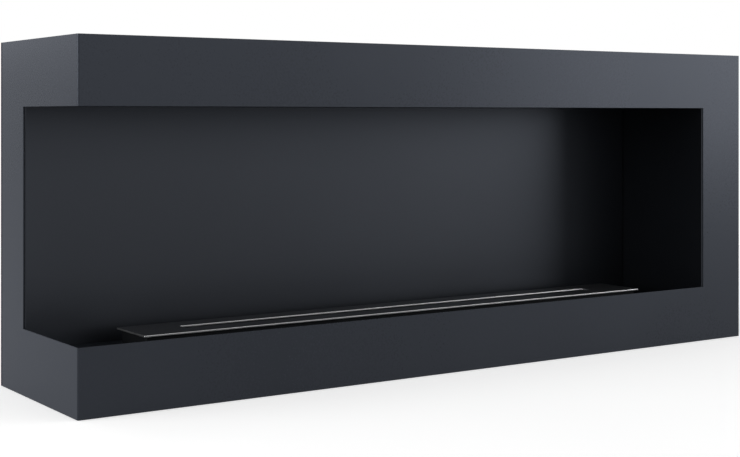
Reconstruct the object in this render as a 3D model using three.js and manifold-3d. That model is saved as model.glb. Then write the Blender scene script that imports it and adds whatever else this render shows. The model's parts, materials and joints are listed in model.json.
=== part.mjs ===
// Bioethanol fireplace: a sheet steel casing that is open at the front and at the left side,
// with a lined firebox, a sunk hearth floor and a lift-out burner with a sliding shutter.
// Millimetres, +Z up, +Y to the rear, origin under the middle of the casing.

import * as THREE from 'three';
import { mergeVertices } from 'three/addons/utils/BufferGeometryUtils.js';
import Module from 'manifold-3d';

const wasm = await Module();
wasm.setup();

// ---- Driving dimensions -------------------------------------------------------------------

// Casing.
const width = 1000;
const depth = 230;
const height = 400;
const lintelHeight = 75;
const baseHeight = 75;
const rightPostWidth = 73;
const rearPostWidth = 72;
const casingSheet = 1.5;
const casingFlange = 18;

// Gap between two pieces that touch, and the inside radius of a fold.
const seat = 0.3;
const bendRadius = 0.8;

// Firebox lining.
const linerSheet = 1.2;
const linerFlange = 15;
const floorRecess = 23;
const burnerCutoutPlay = 1.5;

// Heat shield over the firebox ceiling and the board behind the firebox.
const shieldSheet = 1;
const shieldFlange = 10;
const shieldInset = 16;
const spacerHeight = 25;
const spacerWidth = 10;
const spacerInset = 60;
const boardThickness = 20;

// Rear panel: vents, hangers, stiffeners and screws.
const ventLength = 56;
const ventHeight = 6;
const ventPitch = 84;
const ventDrop = 38;
const ventMargin = 70;
const hangerInset = 250;
const hangerDrop = 96;
const hangerWidth = 74;
const hangerHeight = 96;
const hangerSheet = 3;
const windowBorder = 13;
const windowCorner = 4;
const keyholeRadius = 7;
const keyholeSlotWidth = 7;
const keyholeRise = 20;
const stiffenerFlange = 25;
const stiffenerGap = 12;
const screwHeadRadius = 3.8;
const screwHeadDepth = 1.4;
const screwRadius = 2;
const screwLength = 9;
const screwPlay = 0.3;
const screwSocketWidth = 2.5;
const screwSocketDepth = 1;
const screwCornerSpace = 62;
const screwsPerLongEdge = 4;
const screwsPerShortEdge = 2;

// Burner.
const burnerLeftSpace = 94.5;
const burnerRightSpace = 81;
const burnerSetback = 2;
const burnerDrop = 1.5;
const burnerPlate = 2;
const plateOverhang = 4;
const tankSheet = 1.5;
const tankCorner = 3;
const slotWidth = 16;
const slotEndSpace = 65;
const slotCorner = 1.5;
const locatorWidth = 22;
const locatorDrop = 8;
const locatorFoot = 9;

// Shutter under the burner plate, and the straps that it slides on.
const shutterSheet = 1.5;
const shutterLap = 2;
const shutterPlay = 0.4;
const shutterEndPlay = 0.6;
const lugReach = 6;
const lugFoot = 9;
const lugWidth = 16;
const lugTaper = 3;
const lugSheet = 1;
const lugHoleRadius = 2.2;
const lugSpacing = 420;
const guideCount = 4;
const guideSheet = 1.2;
const guideWidth = 12;
const guideInset = 24;
const guideRoom = 4;

// Ceramic fibre and the perforated sheet that holds it down.
const fibreBlocks = 3;
const fibreGap = 1;
const retainerSheet = 1;
const retainerPlay = 0.5;
const fuelHeadroom = 14;
const perforationLength = 34;
const perforationWidth = 7;
const perforationPitch = 42;
const perforationRowSpacing = 14;

// Cradles and rails that carry the burner and the hearth floor.
const cradleHeight = 10.5;
const cradleWidth = 34;
const cradleFoot = 14;
const cradleTab = 12;
const cradlePlay = 0.6;
const cradleCount = 3;
const cradleEndSpace = 90;
const railGap = 5;
const railOverrun = 24;
const railTipSpace = 8;

// ---- Planes worked out from them ----------------------------------------------------------

const left = -width / 2;
const right = width / 2;
const front = -depth / 2;
const rear = depth / 2;
const openBottom = baseHeight;
const openTop = height - lintelHeight;
const openRight = right - rightPostWidth;
const openRear = rear - rearPostWidth;
const floorTop = openBottom - floorRecess;

const seatLeft = left + casingSheet + seat;
const seatRight = right - casingSheet - seat;
const seatFront = front + casingSheet + seat;
const flangePlane = rear - casingSheet - seat;

const burnerLeft = left + casingSheet + burnerLeftSpace;
const burnerRight = openRight - burnerRightSpace;
const burnerLength = burnerRight - burnerLeft;
const burnerX = (burnerLeft + burnerRight) / 2;
const burnerY = (front + casingSheet + openRear) / 2 + burnerSetback;
const burnerTop = openBottom - burnerDrop;
const plateBottom = burnerTop - burnerPlate;
const shutterWidth = slotWidth + 2 * shutterLap;
const tankHalfInner = slotWidth / 2 + shutterWidth + guideRoom;
const tankHalfWidth = tankHalfInner + tankSheet;
const burnerWidth = 2 * (tankHalfWidth + plateOverhang);
const tankHalfLength = burnerLength / 2 - plateOverhang;
const tankInnerHalfLength = tankHalfLength - tankSheet;
const tankBottom = casingSheet + cradleHeight;
const slotLength = burnerLength - 2 * slotEndSpace;
const shutterLength = slotLength + 2 * shutterLap;
const retainerTop = plateBottom - fuelHeadroom;
const fibreBottom = tankBottom + tankSheet + seat;

const hangerX = width / 2 - hangerInset;
const hangerZ = height - hangerDrop;
const boardFront = openRear + linerSheet + seat;
const boardRear = boardFront + boardThickness;
const shieldLevel = openTop + linerSheet + spacerHeight + shieldSheet;

// How far a cutting tool runs past the face that it cuts.
const overcut = 5;

// ---- Solids -------------------------------------------------------------------------------

function solidOf(geometry) {
  const bare = geometry.index ? geometry.toNonIndexed() : geometry.clone();
  bare.deleteAttribute('normal');
  bare.deleteAttribute('uv');
  const merged = mergeVertices(bare);
  return new wasm.Manifold(new wasm.Mesh({
    numProp: 3,
    vertProperties: merged.attributes.position.array,
    triVerts: new Uint32Array(merged.index.array),
  }));
}

function geometryOf(solid) {
  const mesh = solid.getMesh();
  const shared = new THREE.BufferGeometry();
  shared.setAttribute('position', new THREE.BufferAttribute(mesh.vertProperties, 3));
  shared.setIndex(new THREE.BufferAttribute(mesh.triVerts, 1));
  const geometry = shared.toNonIndexed();
  geometry.computeVertexNormals();
  return geometry;
}

function cut(body, tools) {
  return tools.reduce((solid, tool) => solid.subtract(tool), body);
}

function join(solids) {
  return solids.reduce((whole, solid) => whole.add(solid));
}

function block(x0, x1, y0, y1, z0, z1) {
  const geometry = new THREE.BoxGeometry(x1 - x0, y1 - y0, z1 - z0);
  return solidOf(geometry.translate((x0 + x1) / 2, (y0 + y1) / 2, (z0 + z1) / 2));
}

// The shape's own axes lie along X and Y for extrudeZ, Y and Z for extrudeX, X and Z for extrudeY.
const curveSteps = 3;

function extrude(shape, length) {
  return new THREE.ExtrudeGeometry(shape, {
    depth: length,
    bevelEnabled: false,
    curveSegments: curveSteps,
  });
}

function extrudeZ(shape, z0, z1) {
  return solidOf(extrude(shape, z1 - z0).translate(0, 0, z0));
}

function extrudeX(shape, x0, x1) {
  const turn = new THREE.Matrix4().makeBasis(
    new THREE.Vector3(0, 1, 0),
    new THREE.Vector3(0, 0, 1),
    new THREE.Vector3(1, 0, 0),
  );
  return solidOf(extrude(shape, x1 - x0).applyMatrix4(turn).translate(x0, 0, 0));
}

function extrudeY(shape, y0, y1) {
  const turn = new THREE.Matrix4().makeBasis(
    new THREE.Vector3(1, 0, 0),
    new THREE.Vector3(0, 0, 1),
    new THREE.Vector3(0, -1, 0),
  );
  return solidOf(extrude(shape, y1 - y0).applyMatrix4(turn).translate(0, y1, 0));
}

// ---- Outlines -----------------------------------------------------------------------------

function roundCorner(path, corner, incoming, outgoing, radius) {
  if (radius <= 0) {
    path.lineTo(corner.x, corner.y);
    return;
  }
  const side = Math.sign(incoming.cross(outgoing));
  const setback = radius * Math.tan(Math.acos(incoming.dot(outgoing)) / 2);
  const start = corner.clone().addScaledVector(incoming, -setback);
  const end = corner.clone().addScaledVector(outgoing, setback);
  const centre = start.clone().add(
    new THREE.Vector2(-incoming.y, incoming.x).multiplyScalar(side * radius),
  );
  const startAngle = start.sub(centre).angle();
  const endAngle = end.sub(centre).angle();
  path.absarc(centre.x, centre.y, radius, startAngle, endAngle, side < 0);
}

// Section of a sheet that is folded at the corners of a path and lies on the left of it.
function foldedSheet(corners, sheet, radius = bendRadius) {
  const path = corners.map(([u, v]) => new THREE.Vector2(u, v));
  const last = path.length - 1;
  const steps = path.slice(1).map((point, i) => point.clone().sub(path[i]).normalize());
  const normals = steps.map((step) => new THREE.Vector2(-step.y, step.x));
  const offset = path.map((point, i) => {
    const before = normals[Math.max(i - 1, 0)];
    const after = normals[Math.min(i, last - 1)];
    const reach = sheet / (1 + before.dot(after));
    return point.clone().addScaledVector(before, reach).addScaledVector(after, reach);
  });
  const shape = new THREE.Shape();
  shape.moveTo(path[0].x, path[0].y);
  for (let i = 1; i < last; i += 1) {
    const outside = steps[i - 1].cross(steps[i]) > 0;
    roundCorner(shape, path[i], steps[i - 1], steps[i], outside ? radius + sheet : radius);
  }
  shape.lineTo(path[last].x, path[last].y);
  shape.lineTo(offset[last].x, offset[last].y);
  for (let i = last - 1; i > 0; i -= 1) {
    const inside = steps[i - 1].cross(steps[i]) > 0;
    const incoming = steps[i].clone().negate();
    const outgoing = steps[i - 1].clone().negate();
    roundCorner(shape, offset[i], incoming, outgoing, inside ? radius : radius + sheet);
  }
  shape.lineTo(offset[0].x, offset[0].y);
  shape.closePath();
  return shape;
}

function roundedRectangle(u0, u1, v0, v1, radius, path = new THREE.Shape()) {
  path.absarc(u1 - radius, v0 + radius, radius, -Math.PI / 2, 0, false);
  path.absarc(u1 - radius, v1 - radius, radius, 0, Math.PI / 2, false);
  path.absarc(u0 + radius, v1 - radius, radius, Math.PI / 2, Math.PI, false);
  path.absarc(u0 + radius, v0 + radius, radius, Math.PI, 1.5 * Math.PI, false);
  path.closePath();
  return path;
}

// Slot with half-round ends.
function slotOutline(u0, u1, v0, v1, path = new THREE.Path()) {
  const radius = (v1 - v0) / 2;
  path.absarc(u1 - radius, v0 + radius, radius, -Math.PI / 2, Math.PI / 2, false);
  path.absarc(u0 + radius, v0 + radius, radius, Math.PI / 2, 1.5 * Math.PI, false);
  path.closePath();
  return path;
}

// Section of a tray: two rounded corners at the closed level, two square ones at the open level.
function traySection(u0, u1, closed, open, radius) {
  const toOpen = Math.sign(open - closed);
  const corner = (u) => new THREE.Vector2(u, closed);
  const along = new THREE.Vector2(1, 0);
  const down = new THREE.Vector2(0, -toOpen);
  const shape = new THREE.Shape();
  shape.moveTo(u0, open);
  roundCorner(shape, corner(u0), down, along, radius);
  roundCorner(shape, corner(u1), along, down.clone().negate(), radius);
  shape.lineTo(u1, open);
  shape.closePath();
  return shape;
}

// Volume of a block with its four edges at the closed level rounded.
function trayVolume(x0, x1, y0, y1, closed, open, radius) {
  const along = extrudeX(traySection(y0, y1, closed, open, radius), x0, x1);
  const across = extrudeY(traySection(x0, x1, closed, open, radius), y0, y1);
  return along.intersect(across);
}

// A sheet with a flange folded from all four sides and its corners welded shut.
function tray(x0, x1, y0, y1, closed, open, sheet) {
  const toOpen = Math.sign(open - closed);
  const outer = trayVolume(x0, x1, y0, y1, closed, open, sheet + bendRadius);
  const inner = trayVolume(
    x0 + sheet,
    x1 - sheet,
    y0 + sheet,
    y1 - sheet,
    closed + toOpen * sheet,
    open + toOpen * overcut,
    bendRadius,
  );
  return outer.subtract(inner);
}

function evenly(count, from, to) {
  return Array.from({ length: count }, (unused, i) => from + ((to - from) * i) / (count - 1));
}

// ---- Materials ----------------------------------------------------------------------------

const finish = {
  casing: { color: 0x43474f, roughness: 0.42, metalness: 0.15 },
  lining: { color: 0x2c2e33, roughness: 0.38, metalness: 0.15 },
  zincSteel: { color: 0x8f9499, roughness: 0.5, metalness: 0.8 },
  stainless: { color: 0xb4b6b8, roughness: 0.32, metalness: 1 },
  burnerBlack: { color: 0x2a2c30, roughness: 0.4, metalness: 0.3 },
  fibre: { color: 0xe6e2d8, roughness: 0.95, metalness: 0 },
  board: { color: 0xc9bfa6, roughness: 0.95, metalness: 0 },
};

function piece(name, solid, look, parent) {
  const mesh = new THREE.Mesh(geometryOf(solid), new THREE.MeshStandardMaterial(look));
  mesh.name = name;
  parent.add(mesh);
  return mesh;
}

const group = new THREE.Group();

// ---- Rear panel screws --------------------------------------------------------------------

// Countersunk screw, head up, with its head's face at z = 0.
function screwProfile(play, headTop) {
  const profile = [
    new THREE.Vector2(0, -screwLength - play),
    new THREE.Vector2(screwRadius + play, -screwLength - play),
    new THREE.Vector2(screwRadius + play, -screwHeadDepth),
    new THREE.Vector2(screwHeadRadius + play, 0),
  ];
  if (headTop > 0) {
    profile.push(new THREE.Vector2(screwHeadRadius + play, headTop));
  }
  profile.push(new THREE.Vector2(0, headTop));
  return new THREE.LatheGeometry(profile, 12);
}

const screwFace = rear - 0.2;

// LatheGeometry turns round Y, so the profile's +Y already points to the rear.
function screwCutter(x, z) {
  return solidOf(screwProfile(screwPlay, overcut).translate(x, screwFace, z));
}

const flangeLine = (casingSheet + bendRadius + casingFlange) / 2;
const screwSites = [
  ...evenly(screwsPerLongEdge, left + screwCornerSpace, right - screwCornerSpace)
    .flatMap((x) => [[x, flangeLine], [x, height - flangeLine]]),
  ...evenly(screwsPerShortEdge, height / 3, (2 * height) / 3)
    .flatMap((z) => [[left + flangeLine, z], [right - flangeLine, z]]),
];
const screwCutters = screwSites.map(([x, z]) => screwCutter(x, z));

function screwBody() {
  const socket = new THREE.CylinderGeometry(
    screwSocketWidth / 2,
    screwSocketWidth / 2,
    2 * screwSocketDepth,
    6,
  );
  return solidOf(screwProfile(0, 0)).subtract(solidOf(socket));
}

// ---- Casing -------------------------------------------------------------------------------

// Front and left frames, folded from one blank at the front left corner, with a rear return.
function frontFascia() {
  const blank = foldedSheet([
    [left + casingFlange, flangePlane],
    [left, flangePlane],
    [left, front],
    [right, front],
  ], casingSheet);
  const opening = block(
    left - overcut,
    openRight,
    front - overcut,
    openRear,
    openBottom,
    openTop,
  );
  const returnNotch = (z0, z1) => block(
    left + casingSheet,
    left + casingFlange + overcut,
    flangePlane - casingSheet - bendRadius - seat,
    flangePlane + overcut,
    z0,
    z1,
  );
  return cut(extrudeZ(blank, 0, height), [
    opening,
    returnNotch(-overcut, casingFlange + seat),
    returnNotch(height - casingFlange - seat, height + overcut),
    ...screwCutters,
  ]);
}

// Right side with a flange behind the front frame and one under the rear panel.
function rightSidePanel() {
  const section = foldedSheet([
    [right - casingFlange, seatFront],
    [right, seatFront],
    [right, flangePlane],
    [right - casingFlange, flangePlane],
  ], casingSheet);
  const flangeNotch = (z0, z1) => block(
    right - casingFlange - overcut,
    right - casingSheet,
    seatFront - overcut,
    flangePlane + overcut,
    z0,
    z1,
  );
  return cut(extrudeZ(section, 0, height), [
    flangeNotch(-overcut, casingFlange + seat),
    flangeNotch(height - casingFlange - seat, height + overcut),
    ...screwCutters,
  ]);
}

function casingTray(closed, open) {
  const body = tray(seatLeft, seatRight, seatFront, flangePlane, closed, open, casingSheet);
  return cut(body, screwCutters);
}

function rearPanel() {
  const outline = new THREE.Shape([
    new THREE.Vector2(left, 0),
    new THREE.Vector2(right, 0),
    new THREE.Vector2(right, height),
    new THREE.Vector2(left, height),
  ]);
  const ventRun = width - 2 * ventMargin;
  const ventCount = Math.floor((ventRun - ventLength) / ventPitch) + 1;
  const ventSpan = (ventCount - 1) * ventPitch;
  for (const x of evenly(ventCount, -ventSpan / 2, ventSpan / 2)) {
    for (const z of [ventDrop, height - ventDrop]) {
      outline.holes.push(slotOutline(
        x - ventLength / 2,
        x + ventLength / 2,
        z - ventHeight / 2,
        z + ventHeight / 2,
      ));
    }
  }
  for (const x of [-hangerX, hangerX]) {
    outline.holes.push(roundedRectangle(
      x - hangerWidth / 2 + windowBorder,
      x + hangerWidth / 2 - windowBorder,
      hangerZ - hangerHeight / 2 + windowBorder,
      hangerZ + hangerHeight / 2 - windowBorder,
      windowCorner,
      new THREE.Path(),
    ));
  }
  return cut(extrudeY(outline, rear - casingSheet, rear), screwCutters);
}

const casing = new THREE.Group();
group.add(casing);
piece('front_fascia', frontFascia(), finish.casing, casing);
piece('right_side_panel', rightSidePanel(), finish.casing, casing);
piece('top_panel', casingTray(height, height - casingFlange), finish.casing, casing);
piece('bottom_panel', casingTray(0, casingFlange), finish.casing, casing);
piece('rear_panel', rearPanel(), finish.casing, casing);

const screw = screwBody();
screwSites.forEach(([x, z], i) => {
  const name = `rear_panel_screw_${String(i + 1).padStart(2, '0')}`;
  piece(name, screw, finish.zincSteel, casing).position.set(x, screwFace, z);
});

// ---- Hangers and stiffeners behind the rear panel -----------------------------------------

// Plate in the XZ plane, centred, with a keyhole: the screw head goes in low and hangs high.
function hangerPlate() {
  const shape = roundedRectangle(
    -hangerWidth / 2,
    hangerWidth / 2,
    -hangerHeight / 2,
    hangerHeight / 2,
    windowCorner,
  );
  const half = keyholeSlotWidth / 2;
  const neck = Math.asin(half / keyholeRadius);
  const keyhole = new THREE.Path();
  keyhole.absarc(0, keyholeRise, half, 0, Math.PI, false);
  keyhole.absarc(0, 0, keyholeRadius, Math.PI / 2 + neck, 2.5 * Math.PI - neck, false);
  keyhole.closePath();
  shape.holes.push(keyhole);
  return extrudeY(shape, -hangerSheet, 0);
}

function stiffener(side) {
  const tip = side * stiffenerFlange;
  const corners = [
    [tip, flangePlane],
    [0, flangePlane],
    [0, boardRear + seat],
    [tip, boardRear + seat],
  ];
  const section = foldedSheet(side > 0 ? corners : corners.reverse(), linerSheet);
  return extrudeZ(section, casingFlange + seat, height - casingFlange - seat);
}

const hangers = new THREE.Group();
group.add(hangers);
for (const [name, side] of [['left', -1], ['right', 1]]) {
  piece(`hanger_plate_${name}`, hangerPlate(), finish.zincSteel, hangers)
    .position.set(side * hangerX, flangePlane, hangerZ);
  piece(`rear_stiffener_${name}`, stiffener(side), finish.zincSteel, hangers)
    .position.x = side * (hangerX + hangerWidth / 2 + stiffenerGap);
}

// ---- Firebox ------------------------------------------------------------------------------

const liningBottom = floorTop - linerFlange;
const liningTop = openTop + linerFlange;
const returnRear = boardRear;

function fireboxBack() {
  const section = foldedSheet([
    [seatLeft, returnRear],
    [seatLeft, openRear],
    [openRight - seat, openRear],
    [openRight - seat, returnRear],
  ], linerSheet);
  return extrudeZ(section, liningBottom, liningTop);
}

function fireboxRightWall() {
  const section = foldedSheet([
    [openRight, returnRear],
    [openRight, seatFront],
    [openRight + linerFlange, seatFront],
  ], linerSheet);
  return extrudeZ(section, liningBottom, liningTop);
}

function fireboxTray(closed, open) {
  return tray(
    seatLeft,
    openRight - seat,
    seatFront,
    openRear - seat,
    closed,
    open,
    linerSheet,
  );
}

function hearthFloor() {
  const halfLength = tankHalfLength + burnerCutoutPlay;
  const halfWidth = tankHalfWidth + burnerCutoutPlay;
  const cutout = roundedRectangle(
    burnerX - halfLength,
    burnerX + halfLength,
    burnerY - halfWidth,
    burnerY + halfWidth,
    tankCorner + burnerCutoutPlay,
  );
  return fireboxTray(floorTop, liningBottom)
    .subtract(extrudeZ(cutout, floorTop - linerSheet - overcut, floorTop + overcut));
}

const firebox = new THREE.Group();
group.add(firebox);
piece('firebox_back', fireboxBack(), finish.lining, firebox);
piece('firebox_right_wall', fireboxRightWall(), finish.lining, firebox);
piece('firebox_ceiling', fireboxTray(openTop, liningTop), finish.lining, firebox);
piece('hearth_floor', hearthFloor(), finish.lining, firebox);

// ---- Heat shield, its spacers and the board -----------------------------------------------

function heatShield() {
  return tray(
    seatLeft + shieldInset,
    openRight - shieldInset,
    seatFront + shieldInset,
    openRear - shieldInset,
    shieldLevel,
    shieldLevel - shieldFlange,
    shieldSheet,
  );
}

function hexSpacer() {
  const radius = spacerWidth / 2 / Math.cos(Math.PI / 6);
  const bar = new THREE.CylinderGeometry(radius, radius, spacerHeight - 2 * seat, 6);
  return solidOf(bar.rotateX(Math.PI / 2));
}

const shielding = new THREE.Group();
group.add(shielding);
piece('ceiling_heat_shield', heatShield(), finish.zincSteel, shielding);
const spacer = hexSpacer();
const spacerSpots = [
  ['front_left', seatLeft + spacerInset, seatFront + spacerInset],
  ['front_right', openRight - spacerInset, seatFront + spacerInset],
  ['rear_left', seatLeft + spacerInset, openRear - spacerInset / 2],
  ['rear_right', openRight - spacerInset, openRear - spacerInset / 2],
];
for (const [name, x, y] of spacerSpots) {
  piece(`shield_spacer_${name}`, spacer, finish.zincSteel, shielding)
    .position.set(x, y, openTop + linerSheet + spacerHeight / 2);
}
piece('rear_insulation_board', block(
  seatLeft + linerSheet + seat,
  openRight - linerSheet - 2 * seat,
  boardFront,
  boardRear,
  liningBottom,
  liningTop,
), finish.board, shielding);

// ---- Cradles and rails in the base --------------------------------------------------------

const cradleTop = cradleHeight - 2 * seat;
const cradleHalfSpan = tankHalfWidth + cradlePlay;

// Hat section strip across the base, its ends turned up to hold the burner in place.
function cradle() {
  const half = cradleWidth / 2;
  const under = cradleTop - linerSheet;
  const section = foldedSheet([
    [-half - cradleFoot, 0],
    [-half, 0],
    [-half, under],
    [half, under],
    [half, 0],
    [half + cradleFoot, 0],
  ], linerSheet);
  const strip = extrudeY(section, -cradleHalfSpan - linerSheet, cradleHalfSpan + linerSheet);
  const tab = (y0) => block(-half, half, y0, y0 + linerSheet, under, under + cradleTab);
  return join([strip, tab(-cradleHalfSpan - linerSheet), tab(cradleHalfSpan)]);
}

// Channel along one long side of the cut-out, open away from the burner.
function floorRail(side) {
  const web = burnerY + side * (cradleHalfSpan + linerSheet + railGap);
  const wall = side < 0 ? seatFront + linerSheet : openRear - seat - linerSheet;
  const tip = wall - side * railTipSpace;
  const low = casingSheet + seat;
  const high = floorTop - linerSheet - seat;
  const corners = [[tip, low], [web, low], [web, high], [tip, high]];
  const section = foldedSheet(side < 0 ? corners : corners.reverse(), linerSheet);
  const half = burnerLength / 2 + railOverrun;
  return extrudeX(section, burnerX - half, burnerX + half);
}

const supports = new THREE.Group();
group.add(supports);
const cradleBody = cradle();
const cradleReach = burnerLength / 2 - cradleEndSpace;
evenly(cradleCount, -cradleReach, cradleReach).forEach((x, i) => {
  piece(`burner_cradle_${i + 1}`, cradleBody, finish.zincSteel, supports)
    .position.set(burnerX + x, burnerY, casingSheet + seat);
});
piece('floor_rail_front', floorRail(-1), finish.zincSteel, supports);
piece('floor_rail_rear', floorRail(1), finish.zincSteel, supports);

// ---- Burner -------------------------------------------------------------------------------

// The burner's own frame has its origin in the middle of its length and width, on the ground.
const burner = new THREE.Group();
burner.position.set(burnerX, burnerY, 0);
group.add(burner);

function tank() {
  const outline = (halfLength, halfWidth, radius) => roundedRectangle(
    -halfLength,
    halfLength,
    -halfWidth,
    halfWidth,
    radius,
  );
  const rim = plateBottom - seat;
  const outer = extrudeZ(outline(tankHalfLength, tankHalfWidth, tankCorner), tankBottom, rim);
  const inner = extrudeZ(
    outline(tankInnerHalfLength, tankHalfInner, tankCorner - tankSheet),
    tankBottom + tankSheet,
    rim + overcut,
  );
  return outer.subtract(inner);
}

// Lid with the flame slot.
function topPlate() {
  const shape = roundedRectangle(
    -burnerLength / 2,
    burnerLength / 2,
    -burnerWidth / 2,
    burnerWidth / 2,
    slotCorner,
  );
  shape.holes.push(roundedRectangle(
    -slotLength / 2,
    slotLength / 2,
    -slotWidth / 2,
    slotWidth / 2,
    slotCorner,
    new THREE.Path(),
  ));
  return extrudeZ(shape, plateBottom, burnerTop);
}

// Angle tab under the lid that keeps it in place inside the tank, its upright leg at y = 0.
function plateLocator(side) {
  const foot = -side * locatorFoot;
  const corners = [[foot, -seat], [0, -seat], [0, -locatorDrop]];
  const section = foldedSheet(side < 0 ? corners : corners.reverse(), tankSheet);
  return extrudeX(section, -locatorWidth / 2, locatorWidth / 2);
}

// Shutter in its open place, in front of the slot.
const shutterRear = -slotWidth / 2;
const shutterFront = shutterRear - shutterWidth;
const shutterTop = plateBottom - shutterPlay;

function shutter() {
  const shape = roundedRectangle(
    -shutterLength / 2,
    shutterLength / 2,
    shutterFront,
    shutterRear,
    slotCorner,
  );
  return extrudeZ(shape, shutterTop - shutterSheet, shutterTop);
}

// Lug welded under the shutter's rear edge at y = 0, with a hole for the regulating hook.
function shutterLug() {
  const tip = lugWidth / 2 - lugTaper;
  const shape = new THREE.Shape([
    new THREE.Vector2(-lugWidth / 2, -lugFoot),
    new THREE.Vector2(lugWidth / 2, -lugFoot),
    new THREE.Vector2(lugWidth / 2, lugReach - lugTaper),
    new THREE.Vector2(tip, lugReach),
    new THREE.Vector2(-tip, lugReach),
    new THREE.Vector2(-lugWidth / 2, lugReach - lugTaper),
  ]);
  const hole = new THREE.Path();
  hole.absarc(0, lugReach / 2, lugHoleRadius, 0, 2 * Math.PI, false);
  shape.holes.push(hole);
  return extrudeZ(shape, -lugSheet, 0);
}

// Strap that hangs from the plate and carries the shutter over its whole travel.
function shutterGuide() {
  const tabFace = plateBottom - seat;
  const spanFace = shutterTop - shutterSheet - shutterPlay;
  const closedLugRear = slotWidth / 2 + shutterLap + lugReach;
  const rearLeg = closedLugRear + 2 * shutterEndPlay;
  const section = foldedSheet([
    [tankHalfInner - 2 * seat, tabFace],
    [rearLeg, tabFace],
    [rearLeg, spanFace],
    [shutterFront - shutterEndPlay, spanFace],
    [shutterFront - shutterEndPlay, tabFace],
  ], guideSheet, 0);
  return extrudeX(section, -guideWidth / 2, guideWidth / 2);
}

// Expanded sheet: rows of long six-sided meshes over the fibre.
function meshOpening(x, y) {
  const end = perforationLength / 2;
  const half = perforationWidth / 2;
  return new THREE.Path([
    new THREE.Vector2(x - end, y),
    new THREE.Vector2(x - end + half, y - half),
    new THREE.Vector2(x + end - half, y - half),
    new THREE.Vector2(x + end, y),
    new THREE.Vector2(x + end - half, y + half),
    new THREE.Vector2(x - end + half, y + half),
  ]);
}

function fibreRetainer() {
  const halfLength = tankInnerHalfLength - retainerPlay;
  const halfWidth = tankHalfInner - retainerPlay;
  const shape = roundedRectangle(-halfLength, halfLength, -halfWidth, halfWidth, slotCorner);
  const count = Math.floor((2 * halfLength - perforationLength) / perforationPitch);
  const span = (count - 1) * perforationPitch;
  for (const x of evenly(count, -span / 2, span / 2)) {
    for (const y of [-perforationRowSpacing, 0, perforationRowSpacing]) {
      shape.holes.push(meshOpening(x, y));
    }
  }
  return extrudeZ(shape, retainerTop - retainerSheet, retainerTop);
}

piece('burner_tank', tank(), finish.stainless, burner);
piece('burner_top_plate', topPlate(), finish.burnerBlack, burner);
piece('burner_shutter', shutter(), finish.stainless, burner);
const lug = shutterLug();
for (const [name, side] of [['left', -1], ['right', 1]]) {
  piece(`shutter_lug_${name}`, lug, finish.stainless, burner)
    .position.set(side * (lugSpacing / 2), shutterRear, shutterTop - shutterSheet - seat);
}
const locatorX = (shutterLength / 2 + tankInnerHalfLength) / 2;
for (const [name, side] of [['front', -1], ['rear', 1]]) {
  for (const [end, endwise] of [['left', -1], ['right', 1]]) {
    piece(`plate_locator_${name}_${end}`, plateLocator(side), finish.stainless, burner)
      .position.set(endwise * locatorX, side * (tankHalfInner - seat), plateBottom);
  }
}
const guide = shutterGuide();
const guideReach = slotLength / 2 - guideInset;
evenly(guideCount, -guideReach, guideReach).forEach((x, i) => {
  piece(`shutter_guide_${i + 1}`, guide, finish.stainless, burner).position.x = x;
});
piece('fibre_retainer', fibreRetainer(), finish.stainless, burner);
const fibreSpan = 2 * (tankInnerHalfLength - retainerPlay);
const fibreLength = (fibreSpan - (fibreBlocks - 1) * fibreGap) / fibreBlocks;
const fibreBody = block(
  -fibreLength / 2,
  fibreLength / 2,
  retainerPlay - tankHalfInner,
  tankHalfInner - retainerPlay,
  fibreBottom,
  retainerTop - retainerSheet - seat,
);
const fibreReach = (fibreSpan - fibreLength) / 2;
evenly(fibreBlocks, -fibreReach, fibreReach).forEach((x, i) => {
  piece(`ceramic_fibre_block_${i + 1}`, fibreBody, finish.fibre, burner).position.x = x;
});

export default group;
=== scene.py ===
"""A bioethanol fireplace in folded steel sheet, open at the front and at the left side."""

import json
import math

import bmesh
import bpy
from bpy.props import FloatProperty, FloatVectorProperty, IntProperty, PointerProperty
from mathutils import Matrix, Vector


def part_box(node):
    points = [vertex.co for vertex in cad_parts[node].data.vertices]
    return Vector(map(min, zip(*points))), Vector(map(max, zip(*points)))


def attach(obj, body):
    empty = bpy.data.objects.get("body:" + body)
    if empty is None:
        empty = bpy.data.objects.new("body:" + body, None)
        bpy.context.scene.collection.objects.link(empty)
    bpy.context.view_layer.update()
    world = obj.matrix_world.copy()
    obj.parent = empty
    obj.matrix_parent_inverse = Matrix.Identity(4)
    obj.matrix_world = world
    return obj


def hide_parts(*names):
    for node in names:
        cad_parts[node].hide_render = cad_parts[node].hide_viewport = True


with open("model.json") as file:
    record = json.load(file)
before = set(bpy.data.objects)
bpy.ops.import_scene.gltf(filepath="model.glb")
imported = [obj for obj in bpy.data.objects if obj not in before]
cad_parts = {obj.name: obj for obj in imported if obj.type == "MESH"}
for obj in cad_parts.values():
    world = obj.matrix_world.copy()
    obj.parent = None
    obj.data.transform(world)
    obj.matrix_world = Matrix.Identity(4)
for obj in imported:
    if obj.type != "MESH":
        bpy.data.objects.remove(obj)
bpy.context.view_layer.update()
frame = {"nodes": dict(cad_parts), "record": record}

bl_info = {
    "name": "Bioethanol Fireplace",
    "version": (1, 0, 0),
    "blender": (4, 5, 0),
    "location": "View3D > Sidebar > Fireplace",
    "description": "Models the sheets, the burner and the finishes of a bioethanol fireplace",
    "category": "Object",
}

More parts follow.
